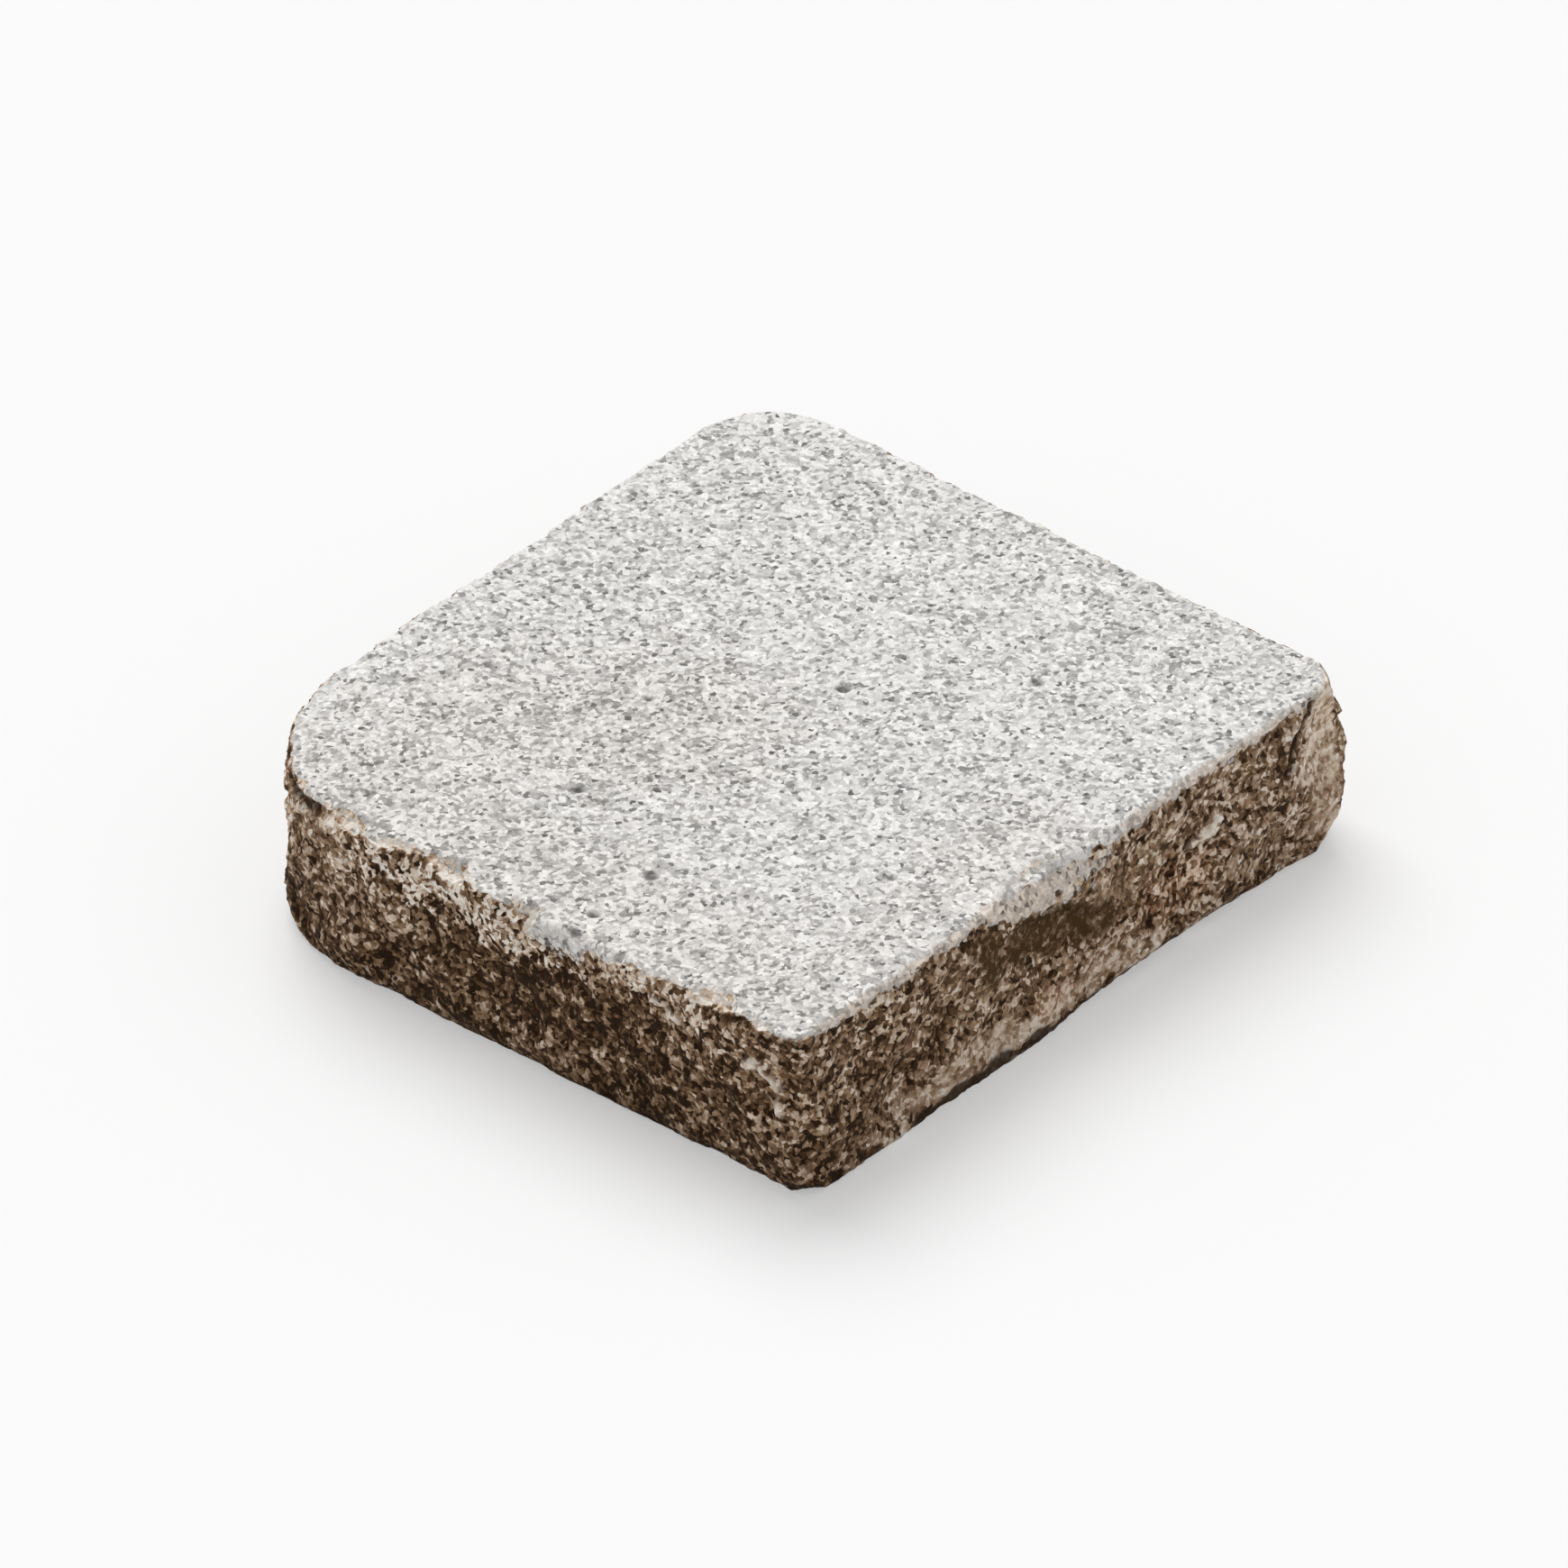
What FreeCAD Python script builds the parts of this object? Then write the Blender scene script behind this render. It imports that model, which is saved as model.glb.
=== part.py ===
"""Granite paving sett: one block with a flat textured head, split sides and a sawn bed."""

import FreeCAD
import Part

import math
import os
import random
from collections import namedtuple

from FreeCAD import Vector

# Driving dimensions, in millimetres and degrees.
# The head is the upper, wearing face and the bed is the sawn face that lies on the ground.
# East is +X and north is +Y, and the origin is on the bed, under the middle of the block.
HEAD_WIDTH = 95.0  # west side to east side, through the middle of the head
HEAD_LENGTH = 99.5  # south side to north side, through the middle of the head
THICKNESS = 22.0  # bed to head
BELLY_HEIGHT = 9.0  # height above the bed at which the split sides stand out furthest

# How far each split side stands out from the head's edge, at the belly and at the foot.
EAST_BELLY = 1.2
EAST_FOOT = -0.1
NORTH_BELLY = 2.8
NORTH_FOOT = -0.8
WEST_BELLY = 1.2
WEST_FOOT = -0.3
SOUTH_BELLY = 1.1
SOUTH_FOOT = -1.4

# How far each side runs out of square, turned anticlockwise seen from above.
EAST_SKEW = 1.9
NORTH_SKEW = -2.6
WEST_SKEW = 3.4
SOUTH_SKEW = -0.4

# Radii of the corners: the hammer took most off the south-west one.
NORTH_EAST_RADIUS = 6.0
NORTH_EAST_FOOT_RADIUS = 3.5
NORTH_WEST_RADIUS = 11.0
SOUTH_WEST_RADIUS = 27.0
SOUTH_WEST_FOOT_RADIUS = 21.5
SOUTH_EAST_RADIUS = 2.0

# Spalls are shell-shaped flakes that blows took off the edges.
# Each has a length along its edge, a depth, and a place along its side from the side's middle.
EAST_SPALL_PLACE = -7.0
EAST_SPALL_LENGTH = 26.0
EAST_SPALL_DEPTH = 1.7
SOUTH_SPALL_PLACE = -9.0
SOUTH_SPALL_LENGTH = 17.0
SOUTH_SPALL_DEPTH = 1.6
SOUTH_END_SPALL_PLACE = 36.0
SOUTH_END_SPALL_LENGTH = 20.0
SOUTH_END_SPALL_DEPTH = 1.1
SOUTH_WEST_SPALL_PLACE = -26.0
SOUTH_WEST_SPALL_LENGTH = 14.0
SOUTH_WEST_SPALL_DEPTH = 1.7
EAST_FOOT_SPALL_PLACE = 16.0
EAST_FOOT_SPALL_LENGTH = 52.0
EAST_FOOT_SPALL_DEPTH = 1.35
NORTH_EAST_SPALL_LENGTH = 18.0
NORTH_EAST_SPALL_DEPTH = 1.9
SOUTH_EAST_SPALL_LENGTH = 9.0
SOUTH_EAST_SPALL_DEPTH = 1.3
TOE_SPALL_HEIGHT = 14.0  # of the middle of the spall that left a toe under the south-west corner
TOE_SPALL_LENGTH = 20.0
TOE_SPALL_DEPTH = 1.6
HEAD_BLOW_RISE = 30.0  # blows on the head's edges come in from this far above level
FOOT_BLOW_RISE = -35.0  # and blows on the foot from this far below it

# Scars are the shallow hollows that splitting left side by side all round the block.
# They lie in two rows, and those of the upper row stand over the gaps of the lower one.
SCAR_PITCH = 16.5  # along a row, from one scar to the next
SCAR_LENGTH = 17.0
SCAR_DEPTH = 1.2
LOWER_SCAR_HEIGHT = 5.0  # of the middles of the lower row
UPPER_SCAR_HEIGHT = 13.5  # of the middles of the upper row
LOWER_SCAR_RISE = 0.0  # blows of the lower row come in from this far above level
UPPER_SCAR_RISE = 0.0  # and blows of the upper row from this far above it
SCAR_DRIFT = 1.2  # how far scars stray up or down from their row
SCAR_LEAN = 5.0  # how far their blows stray from that
SCAR_SPREAD = 0.25  # share by which they are longer or shorter, and deeper or shallower
SCAR_SEED = 11  # another seed gives another block of the same kind

UP = Vector(0, 0, 1)

Side = namedtuple("Side", "facing reach skew foot belly")
EAST = Side(0, HEAD_WIDTH / 2, EAST_SKEW, EAST_FOOT, EAST_BELLY)
NORTH = Side(90, HEAD_LENGTH / 2, NORTH_SKEW, NORTH_FOOT, NORTH_BELLY)
WEST = Side(180, HEAD_WIDTH / 2, WEST_SKEW, WEST_FOOT, WEST_BELLY)
SOUTH = Side(270, HEAD_LENGTH / 2, SOUTH_SKEW, SOUTH_FOOT, SOUTH_BELLY)

# Each corner joins a side to the next one anticlockwise.
Corner = namedtuple("Corner", "facing first second radius foot_radius")
NORTH_EAST = Corner(45, EAST, NORTH, NORTH_EAST_RADIUS, NORTH_EAST_FOOT_RADIUS)
NORTH_WEST = Corner(135, NORTH, WEST, NORTH_WEST_RADIUS, NORTH_WEST_RADIUS)
SOUTH_WEST = Corner(225, WEST, SOUTH, SOUTH_WEST_RADIUS, SOUTH_WEST_FOOT_RADIUS)
SOUTH_EAST = Corner(315, SOUTH, EAST, SOUTH_EAST_RADIUS, SOUTH_EAST_RADIUS)


def heading(compass, rise=0.0):
    """Unit vector at an angle from +X towards +Y, tilted up by rise, both in degrees."""
    turn, tilt = math.radians(compass), math.radians(rise)
    return Vector(math.cos(turn) * math.cos(tilt), math.sin(turn) * math.cos(tilt), math.sin(tilt))


def at_height(height, foot, belly, head):
    """Value at a height, when it changes evenly from foot to belly and from belly to head."""
    if height < BELLY_HEIGHT:
        return foot + (belly - foot) * height / BELLY_HEIGHT
    return belly + (head - belly) * (height - BELLY_HEIGHT) / (THICKNESS - BELLY_HEIGHT)


def side_run(side):
    """Direction in which a side runs, anticlockwise round the block."""
    return heading(side.facing + 90 + side.skew)


def side_point(side, height, along=0.0):
    """Point on a side at a height, measured along its run from its middle."""
    middle = heading(side.facing) * side.reach
    stand_out = heading(side.facing + side.skew) * at_height(height, side.foot, side.belly, 0.0)
    return middle + stand_out + side_run(side) * along + UP * height


def corner_arc(corner, height):
    """Start, crown and end of a round corner at a height."""
    radius = corner.foot_radius + (corner.radius - corner.foot_radius) * height / THICKNESS
    run_in, run_out = side_run(corner.first), side_run(corner.second)
    start = side_point(corner.first, height)
    gap = side_point(corner.second, height) - start
    tip = start + run_in * (gap.cross(run_out).z / run_in.cross(run_out).z)
    half_turn = run_in.getAngle(run_out) / 2
    tangent = radius * math.tan(half_turn)
    inward = (run_out - run_in).normalize()
    crown = tip + inward * (radius / math.cos(half_turn) - radius)
    return tip - run_in * tangent, crown, tip + run_out * tangent


def outline(height):
    """Closed wire round the block at a height: four straight sides and four round corners."""
    arcs = [corner_arc(corner, height) for corner in (NORTH_EAST, NORTH_WEST, SOUTH_WEST, SOUTH_EAST)]
    edges = []
    for before, arc in zip(arcs[-1:] + arcs[:-1], arcs):
        edges.append(Part.LineSegment(before[-1], arc[0]).toShape())
        edges.append(Part.Arc(*arc).toShape())
    return Part.Wire(edges)


def hollow(point, blow, length, depth):
    """Ball that a blow drives into the block at a point, to leave a hollow of that length and depth."""
    radius = (length**2 / 4 + depth**2) / (2 * depth)
    ball = Part.makeSphere(radius)
    # The ball's seam is turned away from the block.
    ball.rotate(Vector(), UP, math.degrees(math.atan2(blow.y, blow.x)))
    ball.translate(point + blow * (radius - depth))
    return ball


def head_edge_spall(side, place, length, depth):
    """Spall on the head's edge, at a place along one side."""
    blow = heading(side.facing + side.skew, HEAD_BLOW_RISE)
    return hollow(side_point(side, THICKNESS, place), blow, length, depth)


def foot_edge_spall(side, place, length, depth):
    """Spall on the foot's edge, at a place along one side."""
    blow = heading(side.facing + side.skew, FOOT_BLOW_RISE)
    return hollow(side_point(side, 0.0, place), blow, length, depth)


def corner_spall(corner, height, rise, length, depth):
    """Spall on the crown of a corner, at a height."""
    start, crown, end = corner_arc(corner, height)
    return hollow(crown, heading(corner.facing, rise), length, depth)


def scar_row(height, rise, first, dice):
    """Scars a pitch apart round the block, from the first or the second half pitch on."""
    ring = outline(height)
    count = round(ring.Length / SCAR_PITCH)
    halves = ring.discretize(Number=2 * count + 1)[:-1]
    scars = []
    for place in range(first, len(halves), 2):
        run = halves[(place + 1) % len(halves)] - halves[place - 1]
        compass = math.degrees(math.atan2(-run.x, run.y))
        blow = heading(compass, rise + dice.uniform(-SCAR_LEAN, SCAR_LEAN))
        middle = halves[place] + UP * dice.uniform(-SCAR_DRIFT, SCAR_DRIFT)
        length = SCAR_LENGTH * (1 + dice.uniform(-SCAR_SPREAD, SCAR_SPREAD))
        depth = SCAR_DEPTH * (1 + dice.uniform(-SCAR_SPREAD, SCAR_SPREAD))
        scars.append(hollow(middle, blow, length, depth))
    return scars


def granite_sett():
    """The finished sett, set on its bed with the origin under its middle."""
    sett = Part.makeLoft([outline(height) for height in (0.0, BELLY_HEIGHT, THICKNESS)], True, True)
    spalls = [
        head_edge_spall(EAST, EAST_SPALL_PLACE, EAST_SPALL_LENGTH, EAST_SPALL_DEPTH),
        head_edge_spall(SOUTH, SOUTH_SPALL_PLACE, SOUTH_SPALL_LENGTH, SOUTH_SPALL_DEPTH),
        head_edge_spall(SOUTH, SOUTH_END_SPALL_PLACE, SOUTH_END_SPALL_LENGTH, SOUTH_END_SPALL_DEPTH),
        head_edge_spall(SOUTH, SOUTH_WEST_SPALL_PLACE, SOUTH_WEST_SPALL_LENGTH, SOUTH_WEST_SPALL_DEPTH),
        foot_edge_spall(EAST, EAST_FOOT_SPALL_PLACE, EAST_FOOT_SPALL_LENGTH, EAST_FOOT_SPALL_DEPTH),
        corner_spall(NORTH_EAST, 0.0, FOOT_BLOW_RISE, NORTH_EAST_SPALL_LENGTH, NORTH_EAST_SPALL_DEPTH),
        corner_spall(SOUTH_EAST, 0.0, FOOT_BLOW_RISE, SOUTH_EAST_SPALL_LENGTH, SOUTH_EAST_SPALL_DEPTH),
        corner_spall(SOUTH_WEST, TOE_SPALL_HEIGHT, 0.0, TOE_SPALL_LENGTH, TOE_SPALL_DEPTH),
    ]
    dice = random.Random(SCAR_SEED)
    scars = scar_row(LOWER_SCAR_HEIGHT, LOWER_SCAR_RISE, 0, dice)
    scars += scar_row(UPPER_SCAR_HEIGHT, UPPER_SCAR_RISE, 1, dice)
    for ball in spalls + scars:
        sett = sett.cut(ball)
    box = sett.optimalBoundingBox(False)
    sett.translate(Vector(-box.Center.x, -box.Center.y, -box.ZMin))
    return sett


os.makedirs("parts", exist_ok=True)
granite_sett().exportStep("parts/granite_sett.step")
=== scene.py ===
"""Looks of a granite sett: a speckled, flame-textured head on a block with rough, stained, split sides."""

import math
from collections import namedtuple

import bmesh
import bpy
from bpy.props import FloatProperty, FloatVectorProperty, IntProperty, PointerProperty
from mathutils import Matrix, Vector, noise
from mathutils.bvhtree import BVHTree
from mathutils.geometry import intersect_point_line
from mathutils.kdtree import KDTree


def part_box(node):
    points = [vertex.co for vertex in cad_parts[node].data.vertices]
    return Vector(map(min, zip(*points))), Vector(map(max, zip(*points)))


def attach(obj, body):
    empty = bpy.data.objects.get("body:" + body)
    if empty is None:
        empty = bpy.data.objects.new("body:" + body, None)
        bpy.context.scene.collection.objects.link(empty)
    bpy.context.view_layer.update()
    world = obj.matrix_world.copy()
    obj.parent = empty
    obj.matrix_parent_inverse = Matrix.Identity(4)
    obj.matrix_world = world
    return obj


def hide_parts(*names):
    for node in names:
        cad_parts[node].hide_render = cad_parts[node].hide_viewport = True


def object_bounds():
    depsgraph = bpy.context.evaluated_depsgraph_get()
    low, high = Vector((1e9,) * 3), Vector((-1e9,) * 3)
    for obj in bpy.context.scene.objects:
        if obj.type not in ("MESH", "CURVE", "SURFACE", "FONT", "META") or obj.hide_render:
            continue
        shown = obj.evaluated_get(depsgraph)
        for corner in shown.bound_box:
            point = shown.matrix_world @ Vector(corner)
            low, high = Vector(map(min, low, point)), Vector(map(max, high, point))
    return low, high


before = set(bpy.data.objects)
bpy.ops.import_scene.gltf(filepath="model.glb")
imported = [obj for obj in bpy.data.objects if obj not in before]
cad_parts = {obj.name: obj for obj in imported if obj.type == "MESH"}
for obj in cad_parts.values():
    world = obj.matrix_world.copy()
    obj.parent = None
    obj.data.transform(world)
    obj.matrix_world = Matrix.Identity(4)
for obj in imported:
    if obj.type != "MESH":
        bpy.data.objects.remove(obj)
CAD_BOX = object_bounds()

bl_info = {
    "name": "Granite sett",
    "version": (1, 0, 0),
    "blender": (4, 5, 0),
    "location": "View3D > Sidebar > Granite sett",
    "description": "Dresses a granite paving sett and sets it on a plain studio floor",
    "category": "Object",
}

BLOCK = "granite_sett"
MM = 0.001
HEAD_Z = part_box(BLOCK)[1].z
TINY = 0.001 * MM  # a length that counts as nothing

# Sizes of the features of the carved relief.
WOBBLE_SIZE = 3.0 * MM
SWELL_SIZE = 9.0 * MM
PLATE_SIZE = 5.0 * MM
GRIT_SIZE = 2.4 * MM
FINE_GRIT_SIZE = 1.35 * MM
HEAD_SWELL_SIZE = 5.0 * MM
HEAD_FLAKE_SIZE = 2.6 * MM
RAGGED_SIZE = 1.6 * MM
PIT_PITCH = 7.0 * MM  # from one place for a pit to the next
CHIP_PITCH = 6.0 * MM  # from one place for a chip to the next
FOOT_BAND = 6.0 * MM  # height over which the relief grows from the foot up
# the head's paler rim is partly bruised stone and partly a painted highlight along its edge
RIM_WIDTH = 0.9 * MM  # of the paler rim of the head
RIM_FADE = 0.5 * MM  # over which that rim fades into the head
CHIP_FADE = 0.35 * MM  # depth at which a chip shows fresh stone only
BED_THINNING = 0.97  # share of the flat bed's faces that is taken out

# Offsets that give each use of the random cells a draw of its own.
LEAN_DRAW = Vector((31.0, 57.0, 83.0))
PIT_DRAW = Vector((5.0, 71.0, 13.0))
CHIP_DRAW = Vector((11.0, 23.0, 47.0))
HALVES = Vector((0.5, 0.5, 0.5))  # the middle of what the random cells and colours give

# The floor.
FLOOR_REACH = 3.0  # from its middle to its sides, in metres
FLOOR_DROP = 0.02 * MM  # below the bed, so that the two faces don't coincide

# Marks on the stone. Each is a line between two points in millimetres, laid on the block's surface,
# with a reach round it, a fade at its rim and the share of its kind that it shows. The kinds are:
# pale, grains bared along a low ridge, painted paler partly as a highlight on it; scar, fresh stone
# nearly as pale as the head; worn, the head's finish carried over its edge; rust, an iron stain;
# red, a reddish cast; tan, a paler side; flat, calm and drawn-out grain; bold, stronger grain;
# dirt and shade, a darker side, of earth, and along the foot partly of painted shade;
# crack and shadow line, a dark crevice, and along the foot a painted shadow line where it meets
# the floor; veil, a duller head; and speck, a dark pit in the head.
Mark = namedtuple("Mark", "kind share reach fade start end")
MARKS = (
    # the east side's arris, the long spall under it, and the stain under that
    Mark("scar", 0.8, 1.0, 0.5, (50.0, -47.0, 21.8), (46.8, 41.0, 21.8)),
    Mark("worn", 1.0, 0.8, 0.35, (46.5, -14.0, 21.9), (46.4, -8.0, 21.5)),
    Mark("worn", 1.0, 0.9, 0.35, (46.4, -8.0, 21.5), (46.6, -3.0, 21.4)),
    Mark("worn", 1.0, 1.0, 0.35, (46.6, -3.0, 21.4), (47.5, 5.0, 21.6)),
    Mark("scar", 0.9, 1.1, 0.7, (47.9, -18.5, 21.6), (47.4, -12.0, 20.8)),
    Mark("scar", 1.0, 1.9, 0.8, (47.5, -10.0, 20.2), (47.8, -4.5, 19.2)),
    Mark("scar", 0.6, 2.0, 1.6, (47.9, -3.0, 19.2), (48.0, 2.0, 18.6)),
    Mark("scar", 1.0, 1.0, 0.5, (47.7, -14.0, 20.0), (47.7, -9.0, 19.2)),
    Mark("rust", 1.0, 2.2, 1.2, (48.6, -19.5, 17.5), (48.6, -16.5, 14.8)),
    Mark("rust", 1.0, 2.6, 0.8, (48.3, -13.5, 14.9), (47.8, -4.0, 13.2)),
    Mark("rust", 0.85, 2.0, 0.8, (47.8, -3.0, 12.6), (48.0, 3.0, 10.4)),
    Mark("crack", 0.4, 0.5, 0.4, (48.3, -13.0, 17.2), (47.8, -5.0, 15.8)),
    Mark("crack", 0.4, 0.5, 0.4, (47.8, -5.0, 15.8), (48.1, 0.5, 13.2)),
    Mark("dirt", 1.2, 1.2, 0.8, (48.5, -22.0, 20.8), (48.6, -18.5, 19.4)),
    # the east side, paler than the others: its middle, the band along its foot and its end
    Mark("tan", 0.5, 14.0, 6.0, (48.0, -10.0, 11.0), (47.0, 44.0, 11.0)),
    Mark("tan", 0.14, 14.0, 6.0, (49.5, -44.0, 11.0), (48.0, -10.0, 11.0)),
    Mark("tan", 1.2, 3.2, 2.0, (48.8, -34.0, 3.5), (47.5, 10.0, 4.0)),
    Mark("flat", 0.9, 2.6, 1.5, (48.8, -30.0, 3.4), (47.4, 6.0, 3.6)),
    Mark("tan", 0.6, 2.4, 1.6, (48.1, -1.0, 16.6), (47.8, 6.0, 13.8)),
    Mark("flat", 0.9, 2.4, 1.6, (48.1, -1.0, 16.6), (47.8, 6.0, 13.8)),
    Mark("tan", 1.15, 3.4, 1.2, (47.2, 42.5, 4.5), (46.4, 42.5, 18.5)),
    Mark("flat", 1.0, 3.4, 1.2, (47.2, 42.5, 4.5), (46.4, 42.5, 18.5)),
    Mark("red", 0.8, 3.0, 2.5, (46.8, 11.0, 8.2), (46.6, 20.0, 7.8)),
    Mark("red", 0.6, 2.0, 2.0, (48.0, -9.0, 5.0), (48.0, -4.0, 4.0)),
    Mark("pale", 1.0, 0.6, 0.4, (46.8, 18.5, 12.4), (46.9, 21.5, 12.8)),
    Mark("pale", 1.0, 0.6, 0.4, (46.9, 21.5, 12.4), (46.9, 23.0, 14.0)),
    # knocked and worn stone under the south side's edge
    Mark("tan", 0.8, 3.0, 2.0, (-34.0, -46.0, 17.5), (-16.0, -50.0, 18.0)),
    Mark("tan", 0.5, 6.0, 3.0, (-38.0, -43.5, 15.0), (-14.0, -50.5, 15.0)),
    Mark("tan", 1.2, 1.2, 0.9, (-27.5, -49.6, 19.2), (-22.5, -49.7, 20.5)),
    Mark("tan", 1.05, 2.4, 1.6, (-16.0, -50.4, 19.6), (-5.0, -50.4, 19.0)),
    Mark("tan", 1.25, 2.4, 1.6, (-5.0, -50.4, 19.0), (10.0, -50.6, 18.0)),
    Mark("bold", 1.0, 3.4, 2.0, (-18.0, -50.0, 19.0), (12.0, -50.6, 17.5)),
    Mark("bold", 0.5, 1.6, 1.2, (14.0, -50.5, 19.8), (36.0, -50.6, 20.2)),
    Mark("worn", 0.8, 1.7, 1.0, (9.5, -51.0, 20.0), (15.5, -51.0, 20.6)),
    Mark("worn", 0.9, 1.0, 0.6, (15.5, -51.0, 21.2), (21.0, -51.0, 21.6)),
    Mark("crack", 1.0, 0.5, 0.3, (10.4, -50.8, 19.4), (11.0, -50.7, 18.4)),
    Mark("tan", 0.6, 1.4, 1.2, (14.0, -50.5, 19.6), (22.0, -50.5, 20.2)),
    Mark("tan", 0.85, 1.6, 1.2, (25.0, -50.5, 20.8), (34.0, -50.6, 20.2)),
    Mark("tan", 0.25, 2.0, 2.0, (26.0, -50.9, 18.6), (47.0, -50.6, 17.0)),
    # the broken rim of the flake by the south-east corner, and the hollow above it
    # bright strokes along the flake's broken rim: bared grains on low ridges, painted paler partly as the
    # highlight on them
    Mark("pale", 1.4, 0.5, 0.4, (21.8, -50.3, 21.6), (25.0, -50.0, 21.6)),
    Mark("pale", 1.4, 0.5, 0.35, (27.2, -50.9, 18.7), (30.8, -50.9, 17.1)),
    Mark("tan", 0.7, 1.1, 1.0, (33.5, -51.4, 18.0), (39.0, -51.4, 15.4)),
    Mark("bold", 1.0, 1.4, 1.0, (33.5, -51.4, 18.0), (39.0, -51.4, 15.4)),
    Mark("pale", 1.2, 0.5, 0.35, (41.2, -51.0, 15.5), (43.1, -50.7, 16.6)),
    Mark("pale", 1.4, 0.5, 0.35, (43.1, -50.7, 16.6), (45.9, -50.4, 14.1)),
    Mark("pale", 1.1, 0.5, 0.4, (45.7, -50.5, 12.0), (45.9, -50.5, 10.8)),
    Mark("crack", 0.8, 0.6, 0.4, (38.1, -50.9, 20.3), (41.0, -50.4, 21.4)),
    Mark("crack", 0.8, 0.5, 0.4, (45.1, -50.4, 21.4), (48.9, -50.6, 21.2)),
    Mark("dirt", 1.0, 1.0, 0.8, (36.0, -50.8, 20.4), (44.0, -50.6, 20.9)),
    # paler stretches of the west and north sides
    Mark("tan", 0.7, 3.0, 2.5, (-49.0, -8.0, 19.5), (-48.0, 20.0, 18.0)),
    Mark("tan", 0.5, 6.0, 4.0, (-48.0, 28.0, 12.0), (-47.0, 38.0, 11.0)),
    Mark("tan", 0.7, 3.0, 2.5, (-22.0, 52.0, 19.5), (6.0, 51.0, 18.0)),
    Mark("tan", 0.5, 7.0, 4.0, (24.0, 50.0, 11.0), (38.0, 50.0, 10.0)),
    # earth on the sides, darkest along the foot, where the darkening is partly painted shade
    Mark("dirt", 1.0, 5.0, 3.5, (-40.0, -42.0, 1.0), (-20.0, -49.0, 1.0)),
    Mark("dirt", 0.4, 2.4, 2.4, (-20.0, -49.0, 1.0), (20.0, -49.5, 0.5)),
    Mark("dirt", 1.2, 4.0, 4.0, (-3.0, -50.0, 11.5), (20.0, -50.0, 11.0)),
    Mark("dirt", 0.6, 5.5, 3.0, (22.0, -50.0, 4.0), (48.0, -50.0, 4.0)),
    Mark("dirt", 0.3, 4.0, 3.0, (46.8, 24.0, 12.0), (46.6, 32.0, 12.0)),
    Mark("dirt", 0.5, 5.0, 4.0, (49.8, -45.0, 14.0), (49.2, -38.0, 12.0)),
    Mark("dirt", 0.9, 3.5, 3.0, (-48.0, -28.0, 1.0), (-48.0, 40.0, 1.0)),
    Mark("dirt", 0.9, 3.5, 3.0, (-38.0, 51.0, 1.0), (42.0, 49.0, 1.0)),
    # painted shadow lines along the foot, where it meets the floor
    Mark("crack", 0.6, 1.0, 0.7, (-41.0, -41.0, 0.3), (-15.0, -49.3, 0.3)),
    Mark("crack", 0.5, 0.7, 0.6, (-15.0, -49.3, 0.3), (46.0, -49.6, 0.3)),
    Mark("crack", 0.5, 0.7, 0.6, (-48.0, -28.0, 0.3), (-48.0, 40.0, 0.3)),
    Mark("crack", 0.5, 0.7, 0.6, (-38.0, 51.0, 0.3), (42.0, 49.0, 0.3)),
    Mark("crack", 0.9, 1.1, 0.5, (48.7, -31.0, 0.6), (48.2, -8.0, 0.8)),
    Mark("crack", 0.7, 0.6, 0.4, (48.2, -8.0, 0.8), (46.5, 10.0, 0.6)),
    # the cracks beside the north-east corner and under the south-west one
    Mark("crack", 1.0, 0.7, 0.4, (46.7, 40.6, 21.5), (47.0, 36.7, 17.6)),
    Mark("crack", 1.0, 0.5, 0.4, (47.0, 36.7, 17.6), (47.4, 34.6, 14.2)),
    Mark("crack", 0.9, 0.7, 0.5, (-34.0, -46.6, 20.0), (-27.0, -49.2, 21.0)),
    # duller stretches of the head: a patch, and the way along its south and east edges
    Mark("veil", 1.0, 14.0, 12.0, (-24.0, -26.0, 22.0), (-8.0, -12.0, 22.0)),
    Mark("veil", 0.9, 9.0, 9.0, (-30.0, -42.0, 22.0), (42.0, -44.0, 22.0)),
    Mark("veil", 0.6, 7.0, 8.0, (42.0, -40.0, 22.0), (40.0, -2.0, 22.0)),
)
# Dark specks on the head.
SPECKS = ((13.5, -45.9), (13.3, -35.9), (-13.1, -8.5), (-5.4, -28.1), (3.3, 7.2), (19.4, 22.6), (14.6, -49.9))
MARKS += tuple(Mark("speck", 1.0, 0.65, 0.3, (x - 0.3, y, 22.0), (x + 0.3, y, 22.0)) for x, y in SPECKS)
KINDS = ("pale", "scar", "worn", "rust", "red", "tan", "flat", "bold", "dirt", "crack", "veil", "speck")
# What the carved mesh stores for its finish: how far it is a split side, freshly chipped or the
# head's paler rim, which is partly a painted highlight, the heights of its lumps and grit, its pits, and its
# marks.
STORED = ("split", "fresh", "rim", "lump", "grit", "pit", *KINDS)


def length(name, description, millimetres):
    """A length that a user may change, given in millimetres."""
    options = {"min": 0.0, "unit": "LENGTH", "precision": 5}
    return FloatProperty(name=name, description=description, default=millimetres * MM, **options)


def angle(name, description, degrees):
    """An angle that a user may change, given in degrees."""
    return FloatProperty(name=name, description=description, default=math.radians(degrees), subtype="ANGLE")


def fraction(name, description, part):
    """A share from 0 to 1 that a user may change."""
    options = {"min": 0.0, "max": 1.0, "subtype": "FACTOR"}
    return FloatProperty(name=name, description=description, default=part, **options)


def colour(name, description, *tint):
    """A linear colour that a user may change."""
    options = {"size": 3, "min": 0.0, "max": 1.0, "subtype": "COLOR"}
    return FloatVectorProperty(name=name, description=description, default=tint, **options)


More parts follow.
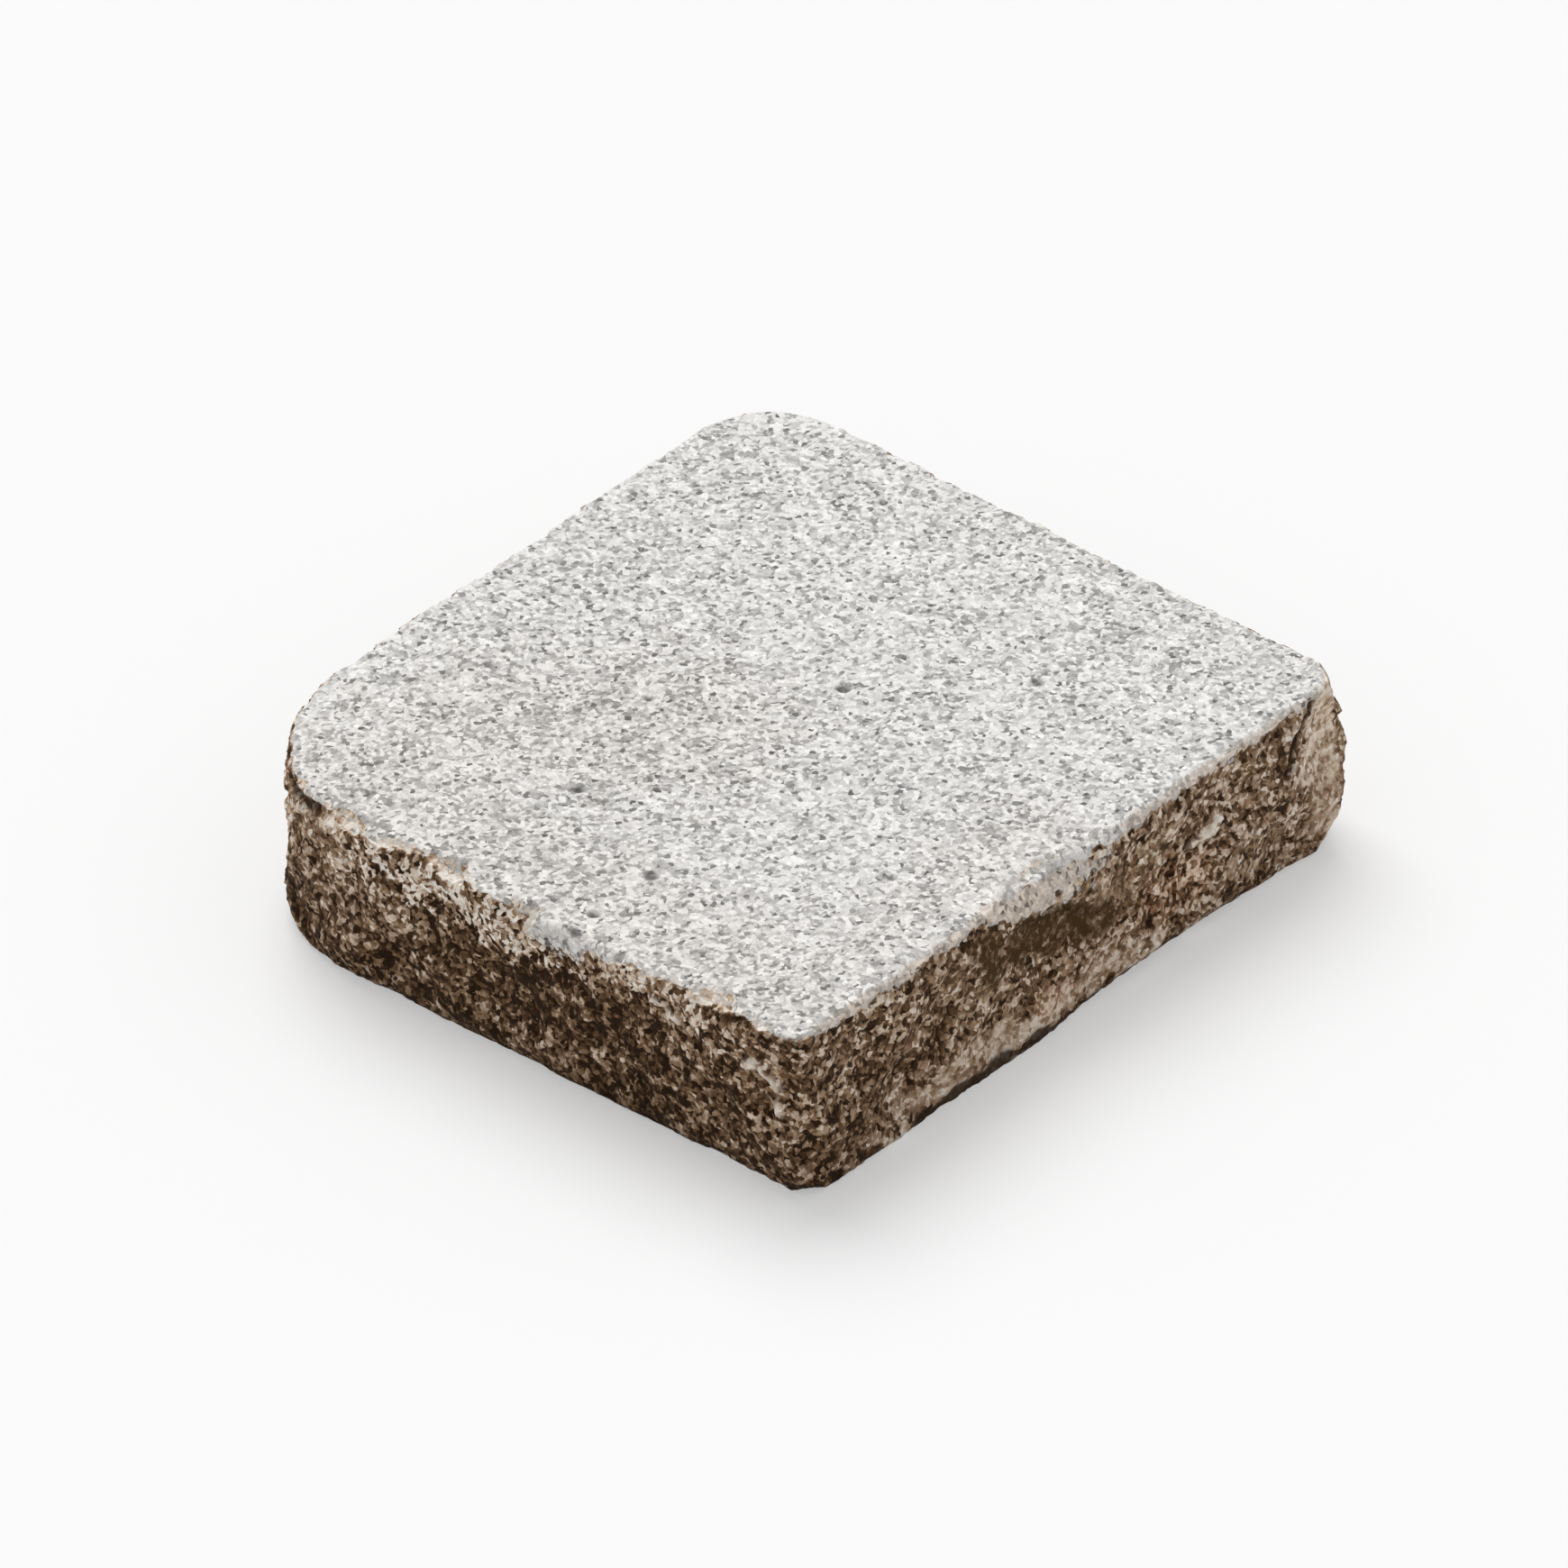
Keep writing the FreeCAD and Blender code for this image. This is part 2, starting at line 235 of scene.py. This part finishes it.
class SettProperties(bpy.types.PropertyGroup):
    """Sizes and colours of the stone."""

    mesh_size: length("Mesh size", "Edge length of the stone's fine mesh", 0.46)
    head_relief: length("Head relief", "Depth of the flame-textured head's flakes", 0.28)
    split_relief: length("Split relief", "Depth of the lumps on the split sides", 0.9)
    arris_wear: length("Arris wear", "How far the head's edges are worn back everywhere", 0.4)
    chip_depth: length("Chip depth", "Depth of the deepest small chips along the head's edges", 1.3)
    foot_wear: length("Foot wear", "How far the foot's edges are worn back", 0.3)
    grain_size: length("Grain size", "Size of the larger mineral grains", 1.15)
    fine_grain_size: length("Fine grain size", "Size of the small mineral grains", 0.58)
    head_grey: colour("Head grey", "Quartz on the head", 0.42, 0.41, 0.398)
    head_mid: colour("Head middle", "Middle tone of the head", 0.80, 0.783, 0.763)
    head_pale: colour("Head pale", "Feldspar on the head", 1.0, 0.985, 0.96)
    mica: colour("Mica", "Dark specks", 0.15, 0.145, 0.14)
    side_dark: colour("Side dark", "Earth in the hollows of the split sides", 0.030, 0.014, 0.005)
    side_brown: colour("Side brown", "Middle tone of the split sides", 0.17, 0.096, 0.048)
    side_tan: colour("Side tan", "Grains that stand out on the split sides", 0.42, 0.28, 0.178)
    side_cream: colour("Side cream", "Pale grains of the split sides", 0.79, 0.645, 0.51)
    side_pale: colour("Side pale", "Palest grains of the split sides", 0.97, 0.9, 0.81)
    rust: colour("Rust", "Iron stain", 0.066, 0.034, 0.008)
    seed: IntProperty(name="Seed", description="Start of the stone's random pattern", default=7, min=0)


class StageProperties(bpy.types.PropertyGroup):
    """The camera, the light and the floor."""

    view_azimuth: angle("View azimuth", "Direction from which the camera looks, round the sett", 44.1)
    view_elevation: angle("View elevation", "Height of the camera above the horizon", 32.6)
    view_roll: angle("View roll", "Lean of the camera", -2.6)
    view_distance: length("View distance", "Camera to sett", 1627.0)
    view_width: length("View width", "Width of the picture at the sett", 182.0)
    sky_level: fraction("Sky level", "Share of the light that comes evenly from all round", 0.5)
    sun_level: fraction("Sun level", "Share of the light on level ground that the soft lamp gives", 0.5)
    sun_azimuth: angle("Sun azimuth", "Direction that the soft lamp shines from, round the sett", 238.0)
    sun_elevation: angle("Sun elevation", "Height of the soft lamp above the horizon", 56.0)
    sun_size: angle("Sun size", "Apparent size of the soft lamp", 45.0)
    floor_colour: colour("Floor colour", "Plain pale floor", 0.965, 0.965, 0.965)
    floor_glow: fraction("Floor glow", "Share of the floor's colour that shows without its shadows", 0.38)


class Shade:
    """One output of a finish's nodes. Arithmetic on it adds Math nodes."""

    def __init__(self, finish, socket):
        self.finish = finish
        self.socket = socket

    def out(self, name):
        """Another output of the same node."""
        return Shade(self.finish, self.socket.node.outputs[name])

    def math(self, operation, *values):
        """Adds a Math node."""
        return self.finish.node("ShaderNodeMath", {"operation": operation}, dict(enumerate(values)))

    def __add__(self, other):
        return self.math("ADD", self, other)

    def __sub__(self, other):
        return self.math("SUBTRACT", self, other)

    def __rsub__(self, other):
        return self.math("SUBTRACT", other, self)

    def __mul__(self, other):
        return self.math("MULTIPLY", self, other)

    __radd__ = __add__
    __rmul__ = __mul__

    def most(self, other):
        """The larger of two values."""
        return self.math("MAXIMUM", self, other)

    def step(self, low, high):
        """Smooth step from 0 at low to 1 at high. Low may be the larger."""
        inputs = {"Value": self, "From Min": low, "From Max": high}
        return self.finish.node("ShaderNodeMapRange", {"interpolation_type": "SMOOTHSTEP"}, inputs)


class Finish:
    """A material, and the one way of adding a node to it."""

    def __init__(self, name):
        self.material = bpy.data.materials.new(name)
        self.material.use_nodes = True
        self.tree = self.material.node_tree
        self.tree.nodes.clear()

    def node(self, kind, settings=None, inputs=None):
        """Adds a node: its settings first, then the values or links of its sockets."""
        made = self.tree.nodes.new(kind)
        for name, value in (settings or {}).items():
            if name == "stops":
                self.set_stops(made.color_ramp, value)
            else:
                setattr(made, name, value)
        for key, value in (inputs or {}).items():
            socket = self.find_socket(made.inputs, key)
            if isinstance(value, Shade):
                self.tree.links.new(value.socket, socket)
            else:
                socket.default_value = value
        shown = [socket for socket in made.outputs if socket.enabled]
        return Shade(self, shown[0]) if shown else None

    @staticmethod
    def find_socket(sockets, key):
        """A socket by its number, or by its name among those in use."""
        if isinstance(key, int):
            return sockets[key]
        return next(socket for socket in sockets if socket.enabled and socket.name == key)

    @staticmethod
    def set_stops(ramp, stops):
        """Sets a colour ramp's stops, each a place and a colour."""
        for place, tint in stops[1:-1]:
            ramp.elements.new(place)
        for element, (place, tint) in zip(ramp.elements, stops):
            element.position = place
            element.color = (*tint, 1.0)

    def ramp(self, value, *stops):
        """A colour by a value, from stops that are each a place and a colour."""
        return self.node("ShaderNodeValToRGB", {"stops": stops}, {"Fac": value})

    def mix(self, factor, first, second, blend="MIX"):
        """Mixes two colours."""
        inputs = {"Factor": factor}
        for key, value in (("A", first), ("B", second)):
            inputs[key] = value if isinstance(value, Shade) else (*value, 1.0)
        return self.node("ShaderNodeMix", {"data_type": "RGBA", "blend_type": blend}, inputs)

    def vector(self, operation, first, second):
        """Adds a Vector Math node."""
        return self.node("ShaderNodeVectorMath", {"operation": operation}, {0: first, 1: second})

    def scaled(self, vector, factor):
        """A vector times a number."""
        return self.node("ShaderNodeVectorMath", {"operation": "SCALE"}, {0: vector, "Scale": factor})

    def noise(self, place, size, detail=3.0, roughness=0.55):
        """Cloudy noise with features of about that size."""
        inputs = {"Vector": place, "Scale": 1.0 / size, "Detail": detail, "Roughness": roughness}
        return self.node("ShaderNodeTexNoise", None, inputs)

    def cells(self, place, size):
        """Grains of about that size, each with its own random colour."""
        return self.node("ShaderNodeTexVoronoi", None, {"Vector": place, "Scale": 1.0 / size})

    def channels(self, tint):
        """Red, green and blue of a colour as numbers from minus a half to a half."""
        split = self.node("ShaderNodeSeparateColor", None, {"Color": tint})
        return split - 0.5, split.out("Green") - 0.5, split.out("Blue") - 0.5

    def attribute(self, name):
        """A number stored on the stone's mesh."""
        return self.node("ShaderNodeAttribute", {"attribute_name": name}).out("Fac")

    def surface(self, **inputs):
        """Ends the nodes in one surface."""
        named = {key.replace("_", " "): value for key, value in inputs.items()}
        shader = self.node("ShaderNodeBsdfPrincipled", None, named)
        self.node("ShaderNodeOutputMaterial", None, {"Surface": shader})
        return self.material


def granite_finish(sett):
    """Speckled granite: pale and flame-textured on the head, stained brown on the split sides."""
    finish = Finish("granite")
    on = {name: finish.attribute(name) for name in STORED}
    place = finish.node("ShaderNodeTexCoord").out("Object")

    # mineral grains of two sizes, with wandering borders
    wander = finish.noise(place, 0.8 * MM, 2.0).out("Color")
    wander = finish.vector("SUBTRACT", wander, HALVES)
    grain_place = finish.vector("ADD", place, finish.scaled(wander, 0.7 * MM))
    coarse = finish.cells(grain_place, sett.grain_size)
    fine = finish.cells(grain_place, sett.fine_grain_size)
    coarse_a, coarse_b, _ = finish.channels(coarse.out("Color"))
    fine_a, fine_b, fine_c = finish.channels(fine.out("Color"))
    mottle = finish.noise(place, 5 * MM, 3.0) - 0.5

    # the head: grey, middle and pale grains, mica, pits and its paler rim, partly bruised stone and partly a
    # painted highlight
    tone = 0.51 + coarse_a * 0.36 + fine_a * 0.7 + mottle * 0.5 - on["veil"] * 0.1
    head = finish.ramp(tone, (0.0, sett.head_grey), (0.5, sett.head_mid), (1.0, sett.head_pale))
    head = finish.mix(fine_c.step(-0.42, -0.45) * 0.8, head, sett.mica)
    head = finish.mix((on["pit"] * 0.75).most(on["speck"] * 0.9), head, sett.mica)
    # the paler rim: partly bruised stone, partly a painted highlight along the edge
    head = finish.mix(on["rim"] * 0.35, head, sett.side_pale)
    head = finish.mix(on["veil"], head, finish.mix(1.0, head, (1.0, 0.98, 0.96), "MULTIPLY"))

    # the split sides: grain under an earth stain, which the marks strengthen or clear
    crevice = coarse.step(0.35, 0.75)
    patch = finish.noise(place, 11 * MM, 2.0) - 0.5
    height = finish.node("ShaderNodeSeparateXYZ", None, {0: place}).out("Z") * (1.0 / HEAD_Z)
    grain = coarse_b * 0.6 + fine_b * 0.98 + on["grit"] * 0.35 - crevice * 0.12
    busy = 1.0 + 0.6 * on["bold"] - 0.1 * on["tan"] - 0.35 * on["pale"] - 0.15 * on["rust"] - 0.4 * on["flat"]
    side_tone = 0.36 + grain * busy + mottle * 0.4 + patch * 0.25 + on["lump"] * 0.15
    drawn = finish.vector("MULTIPLY", grain_place, (1.0, 0.18, 1.0))
    side_tone = side_tone + on["flat"] * (finish.noise(drawn, 0.9 * MM, 2.0) - 0.5) * 0.8
    # lighter towards the top, partly paler stone by the head and partly painted light; darker under the marks
    # of earth and rust, where the earth along the foot is partly painted shade
    side_tone = side_tone + height.step(0.6, 1.0) * 0.06 - on["dirt"] * 0.14 - on["rust"] * 0.2
    side_tone = side_tone + on["tan"] * 0.42 + on["pale"] * 0.5 + on["fresh"] * 0.65
    side = finish.ramp(
        side_tone * 0.75,
        (0.0, sett.side_dark),
        (0.285, sett.side_brown),
        (0.525, sett.side_tan),
        (0.75, sett.side_cream),
        (1.0, sett.side_pale),
    )
    # the pale marks: bared grains, painted paler partly as a highlight on their ridges
    side = finish.mix(on["pale"] * (0.42 + fine_b * 0.7), side, sett.side_pale)
    side = finish.mix(on["rust"] * (0.8 - grain * 0.6), side, sett.rust)
    side = finish.mix(on["red"], side, finish.mix(1.0, side, (1.07, 0.94, 0.88), "MULTIPLY"))
    # dark crevices, and along the foot painted shadow lines where it meets the floor
    side = finish.mix(on["crack"], side, sett.side_dark)

    # head and sides meet along the grains, and scars show nearly bare stone
    ragged = fine_a * 0.45 + coarse_b * 0.3
    sided = on["split"].most(on["fresh"] * 0.6) - on["scar"] - on["worn"]
    bared = finish.mix(1.0, head, (1.0, 0.88, 0.775), "MULTIPLY")
    top = finish.mix(on["scar"] * on["split"].most(on["fresh"]) * (1.0 - on["worn"]), head, bared)
    stone = finish.mix((sided + ragged).step(0.35, 0.6), top, side)

    # relief finer than the mesh: each small grain is a leaning facet, with grit on it
    lean = finish.vector("SUBTRACT", fine.out("Color"), HALVES)
    offset = finish.vector("SUBTRACT", grain_place, fine.out("Position"))
    facet = finish.vector("DOT_PRODUCT", offset, lean).out("Value")
    grit = finish.noise(place, 0.35 * MM, 2.0)
    relief = facet * 0.9 + grit * (0.12 * MM) + fine_a * (0.1 * MM) - crevice * on["split"] * (0.15 * MM)
    bump = finish.node("ShaderNodeBump", None, {"Strength": 1.0, "Distance": 1.0, "Height": relief})
    rough = 0.72 + 0.2 * fine_b + 0.1 * on["split"]
    return finish.surface(Base_Color=stone, Roughness=rough, Specular_IOR_Level=0.1, Normal=bump)


def merged_block():
    """A closed copy of the block's mesh."""
    copy = bmesh.new()
    copy.from_mesh(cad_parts[BLOCK].data)
    bmesh.ops.remove_doubles(copy, verts=copy.verts, dist=TINY)
    return copy


class Arris:
    """Points along the edges of the head or the bed, with the way that each edge points."""

    SPACING = 0.25 * MM

    def __init__(self, block, level):
        points, outwards = [], []
        for edge in block.edges:
            flat = [abs(face.normal.z - level) < 0.01 for face in edge.link_faces]
            if any(flat) and not all(flat):
                start, end = (vert.co for vert in edge.verts)
                pieces = math.ceil(edge.calc_length() / self.SPACING)
                points += [start.lerp(end, piece / pieces) for piece in range(pieces)]
                outward = sum((face.normal for face in edge.link_faces), Vector()).normalized()
                outwards += [outward] * pieces
        self.outwards = outwards
        self.tree = KDTree(len(points))
        for index, point in enumerate(points):
            self.tree.insert(point, index)
        self.tree.balance()

    def nearest(self, place):
        """The nearest point of the edges, the way that its edge points, and how far off it is."""
        point, index, distance = self.tree.find(place)
        return point, self.outwards[index], distance


def fine_mesh(block, size):
    """The block as an even mesh of small faces."""
    mesh = bpy.data.meshes.new("block")
    block.to_mesh(mesh)
    rough = bpy.data.objects.new("block", mesh)
    bpy.context.scene.collection.objects.link(rough)
    remesh = rough.modifiers.new("even", "REMESH")
    remesh.mode = "VOXEL"
    remesh.voxel_size = size
    even = bmesh.new()
    even.from_object(rough, bpy.context.evaluated_depsgraph_get())
    bpy.data.objects.remove(rough)
    bpy.data.meshes.remove(mesh)
    return even


def smoothed_normals(mesh, rounds):
    """Normals that turn over an edge gradually."""
    mesh.normal_update()
    normals = [vert.normal.copy() for vert in mesh.verts]
    neighbours = [[edge.other_vert(vert).index for edge in vert.link_edges] for vert in mesh.verts]
    for _ in range(rounds):
        normals = [
            sum((normals[index] for index in around), normal).normalized()
            for normal, around in zip(normals, neighbours)
        ]
    return normals


def smooth_step(value, low, high):
    """Smooth step from 0 at low to 1 at high."""
    part = min(max((value - low) / (high - low), 0.0), 1.0)
    return part * part * (3.0 - 2.0 * part)


def flakes(place, size, tilt):
    """Height of a broken surface of flat flakes, each at its own level and tilt."""
    at = place / size
    seat = noise.voronoi(at)[1][0]
    lean = noise.cell_vector(seat + LEAN_DRAW) - HALVES
    return lean.x + tilt * (at - seat).dot(lean)


def pit(place):
    """A few small round pits."""
    distances, seats = noise.voronoi(place / PIT_PITCH)
    luck = noise.cell_vector(seats[0] + PIT_DRAW)
    if luck.x < 0.55:
        return 0.0
    return smooth_step(0.07 + 0.06 * luck.y - distances[0], 0.0, 0.05)


def chip(place, wear, depth):
    """How far the edge is broken back at a place along it."""
    distances, seats = noise.voronoi(place / CHIP_PITCH)
    luck = noise.cell_vector(seats[0] + CHIP_DRAW).x
    bite = smooth_step(luck, 0.45, 1.0) * max(0.0, 1.0 - 1.6 * distances[0] ** 2)
    ragged = 0.5 + 0.5 * noise.fractal(place / RAGGED_SIZE, 0.8, 2.0, 3)
    return wear * (0.4 + ragged) + depth * bite * (0.6 + 0.6 * ragged)


def laid_marks(block):
    """The marks with their ends laid on the block's surface, in metres."""
    surface = BVHTree.FromBMesh(block)
    return [
        mark._replace(
            reach=mark.reach * MM,
            fade=mark.fade * MM,
            start=surface.find_nearest(Vector(mark.start) * MM)[0],
            end=surface.find_nearest(Vector(mark.end) * MM)[0],
        )
        for mark in MARKS
    ]


def mark_share(place, mark, wobble):
    """How strongly a mark shows at a place, from 0 to the mark's own share."""
    part = min(max(intersect_point_line(place, mark.start, mark.end)[1], 0.0), 1.0)
    off = (place - mark.start.lerp(mark.end, part)).length
    return mark.share * smooth_step(mark.reach * (1.0 + 0.8 * wobble) - off, -mark.fade, mark.fade)


def find_marks(found, spot, place, marks):
    """Notes how strongly each kind of mark shows at a vertex."""
    wobble = noise.fractal(place / WOBBLE_SIZE, 0.9, 2.0, 3)
    for mark in marks:
        found[mark.kind] = max(found[mark.kind], mark_share(spot, mark, wobble))


def split_height(found, place):
    """Height of a split side's relief, as a share of its depth. Some marks make it calmer."""
    swell = noise.fractal(place / SWELL_SIZE, 0.9, 2.0, 3)
    found["lump"] = 0.2 * swell + 0.45 * flakes(place, PLATE_SIZE, 0.9)
    found["grit"] = 0.6 * flakes(place, GRIT_SIZE, 0.9) + 0.5 * flakes(place, FINE_GRIT_SIZE, 0.9)
    calm = 1.0 - 0.7 * min(1.0, max(found["rust"], found["scar"], found["worn"], found["flat"]))
    rough = (found["lump"] + 0.6 * found["grit"]) * calm
    return rough - 0.2 - 0.6 * found["crack"] + 0.6 * found["pale"]


def head_height(found, place, head):
    """Height of the head's relief, as a share of its depth."""
    found["pit"] = head * max(pit(place), found["speck"])
    swell = noise.fractal(place / HEAD_SWELL_SIZE, 0.8, 2.0, 3)
    return 0.7 * flakes(place, HEAD_FLAKE_SIZE, 1.0) + 0.4 * swell - 0.2 - 1.3 * found["pit"]


def edge_cut(edge_place, off, wear, depth):
    """How far a point is cut back, when it is that far off an edge that is broken at 45 degrees."""
    return chip(edge_place, wear, depth) - off / math.sqrt(2.0)


def carve(mesh, block, sett):
    """Gives the even mesh its relief, and stores what the finish reads."""
    head_edge, bed_edge = Arris(block, 1.0), Arris(block, -1.0)
    normals = smoothed_normals(mesh, 3)
    marks = laid_marks(block)
    layers = {name: mesh.verts.layers.float.new(name) for name in STORED}
    origin = Vector((sett.seed * 0.37, sett.seed * 0.61, sett.seed * 0.83))
    moves = []
    for vert, normal in zip(mesh.verts, normals):
        place = vert.co + origin
        found = dict.fromkeys(STORED, 0.0)
        head = smooth_step(normal.z, 0.5, 0.95)
        bed = smooth_step(-normal.z, 0.9, 0.99)
        found["split"] = 1.0 - head - bed
        move = Vector()
        if bed < 1.0:
            find_marks(found, vert.co, place, marks)
        if found["split"] > 0.0:
            level = 0.45 + 0.55 * smooth_step(vert.co.z, 0.0, FOOT_BAND)
            outward = Vector((normal.x, normal.y, 0.0))
            move += outward * (sett.split_relief * level * split_height(found, place))
        if head > 0.0:
            move.z += head * sett.head_relief * head_height(found, place, head)

        # Chips are deepest along the south edge and shallowest along the foot.
        edge_point, edge_outward, off = head_edge.nearest(vert.co)
        broken = max(0.35, 0.55 - 0.8 * edge_outward.y)
        cut = edge_cut(edge_point + origin, off, sett.arris_wear, sett.chip_depth * broken)
        move -= edge_outward * max(0.0, cut)
        found["fresh"] = smooth_step(cut, 0.0, CHIP_FADE)
        # the head's paler rim: partly bruised stone, partly a painted highlight along the edge
        found["rim"] = head * smooth_step(RIM_WIDTH - off, 0.0, RIM_FADE)
        foot_point, foot_outward, foot_off = bed_edge.nearest(vert.co)
        foot_cut = edge_cut(foot_point + origin, foot_off, sett.foot_wear, sett.chip_depth * 0.3)
        move -= foot_outward * max(0.0, foot_cut)
        moves.append(move)
        for name, value in found.items():
            vert[layers[name]] = value
    for vert, move in zip(mesh.verts, moves):
        vert.co += move
        vert.co.z = max(vert.co.z, 0.0)


def thin_bed(piece):
    """Makes the flat bed's faces fewer and larger."""
    low = [vert.co.z < TINY for vert in piece.data.vertices]
    group = piece.vertex_groups.new(name="bed")
    group.add([index for index, flat in enumerate(low) if flat], 1.0, "REPLACE")
    bed_faces = sum(all(low[index] for index in face.vertices) for face in piece.data.polygons)
    thin = piece.modifiers.new("bed", "DECIMATE")
    thin.vertex_group = group.name
    thin.ratio = 1.0 - BED_THINNING * bed_faces / len(piece.data.polygons)
    whole = bpy.data.meshes.new_from_object(piece.evaluated_get(bpy.context.evaluated_depsgraph_get()))
    piece.modifiers.clear()
    piece.vertex_groups.clear()
    old = piece.data
    piece.data = whole
    bpy.data.meshes.remove(old)


class OBJECT_OT_sett_stone(bpy.types.Operator):
    """Carve the block's relief and give it the granite finish"""

    bl_idname = "object.sett_stone"
    bl_label = "Sett stone"

    def execute(self, context):
        sett = context.scene.sett
        block = merged_block()
        mesh = fine_mesh(block, sett.mesh_size)
        carve(mesh, block, sett)
        stone = bpy.data.meshes.new("sett_stone")
        mesh.to_mesh(stone)
        block.free()
        mesh.free()
        piece = bpy.data.objects.new("sett_stone", stone)
        context.scene.collection.objects.link(piece)
        context.view_layer.update()
        thin_bed(piece)
        piece.data.shade_smooth()
        piece.data.materials.append(granite_finish(sett))
        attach(piece, "root")
        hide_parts(BLOCK)
        return {"FINISHED"}


def compass(azimuth, elevation):
    """Unit vector towards a camera or lamp at that azimuth and elevation."""
    level = math.cos(elevation)
    return Vector((math.sin(azimuth) * level, -math.cos(azimuth) * level, math.sin(elevation)))


def floor_finish(stage):
    """Matt floor, with part of its own colour shown to the camera, so that its shadows are light."""
    finish = Finish("floor")
    tint = (*stage.floor_colour, 1.0)
    matt = finish.node("ShaderNodeBsdfDiffuse", None, {"Color": tint})
    glow = finish.node("ShaderNodeEmission", None, {"Color": tint})
    ray = finish.node("ShaderNodeLightPath")
    seen = ray.out("Is Camera Ray") + ray.out("Is Glossy Ray") + ray.out("Is Transmission Ray")
    shader = finish.node("ShaderNodeMixShader", None, {0: seen * stage.floor_glow, 1: matt, 2: glow})
    finish.node("ShaderNodeOutputMaterial", None, {"Surface": shader})
    return finish.material


def add_floor(stage):
    """A wide, plain, matt floor under the sett."""
    mesh = bpy.data.meshes.new("floor")
    shape = bmesh.new()
    below = Matrix.Translation((0.0, 0.0, -FLOOR_DROP))
    bmesh.ops.create_grid(shape, x_segments=1, y_segments=1, size=FLOOR_REACH, matrix=below)
    shape.to_mesh(mesh)
    shape.free()
    floor = bpy.data.objects.new("floor", mesh)
    bpy.context.scene.collection.objects.link(floor)
    mesh.materials.append(floor_finish(stage))


def add_light(stage):
    """Even light from all round and one large soft lamp."""
    world = bpy.data.worlds.new("studio")
    world.use_nodes = True
    sky = world.node_tree.nodes["Background"]
    sky.inputs["Color"].default_value = (1.0, 1.0, 1.0, 1.0)
    sky.inputs["Strength"].default_value = stage.sky_level
    bpy.context.scene.world = world
    lamp = bpy.data.lights.new("soft_lamp", "SUN")
    lamp.energy = stage.sun_level * math.pi / math.sin(stage.sun_elevation)
    lamp.angle = stage.sun_size
    sun = bpy.data.objects.new("soft_lamp", lamp)
    towards = compass(stage.sun_azimuth, stage.sun_elevation)
    sun.rotation_euler = towards.to_track_quat("Z", "Y").to_euler()
    bpy.context.scene.collection.objects.link(sun)


def add_camera(stage):
    """The camera, at the photograph's viewing angle."""
    lens = bpy.data.cameras.new("camera")
    lens.lens = lens.sensor_width * stage.view_distance / stage.view_width
    camera = bpy.data.objects.new("camera", lens)
    back = compass(stage.view_azimuth, stage.view_elevation)
    target = (CAD_BOX[0] + CAD_BOX[1]) / 2
    turn = back.to_track_quat("Z", "Y").to_matrix() @ Matrix.Rotation(stage.view_roll, 3, "Z")
    camera.matrix_world = Matrix.Translation(target + back * stage.view_distance) @ turn.to_4x4()
    bpy.context.scene.collection.objects.link(camera)
    bpy.context.scene.camera = camera


class SCENE_OT_sett_stage(bpy.types.Operator):
    """Set the sett on a pale floor, with soft light and a camera"""

    bl_idname = "scene.sett_stage"
    bl_label = "Stage"

    def execute(self, context):
        stage = context.scene.sett_stage
        add_floor(stage)
        add_light(stage)
        add_camera(stage)
        context.scene.view_settings.view_transform = "Standard"
        return {"FINISHED"}


class VIEW3D_PT_sett(bpy.types.Panel):
    """Lists the steps that dress the sett"""

    bl_idname = "VIEW3D_PT_sett"
    bl_label = "Granite sett"
    bl_space_type = "VIEW_3D"
    bl_region_type = "UI"
    bl_category = "Granite sett"

    def draw(self, context):
        scene = context.scene
        for settings, operator in ((scene.sett, "object.sett_stone"), (scene.sett_stage, "scene.sett_stage")):
            box = self.layout.box()
            for name in settings.__annotations__:
                box.prop(settings, name)
            box.operator(operator)


CLASSES = (SettProperties, StageProperties, OBJECT_OT_sett_stone, SCENE_OT_sett_stage, VIEW3D_PT_sett)


def register():
    for cls in CLASSES:
        bpy.utils.register_class(cls)
    bpy.types.Scene.sett = PointerProperty(type=SettProperties)
    bpy.types.Scene.sett_stage = PointerProperty(type=StageProperties)


def unregister():
    del bpy.types.Scene.sett_stage
    del bpy.types.Scene.sett
    for cls in reversed(CLASSES):
        bpy.utils.unregister_class(cls)


def main():
    register()
    bpy.ops.object.sett_stone()
    bpy.ops.scene.sett_stage()


if __name__ == "__main__":
    main()
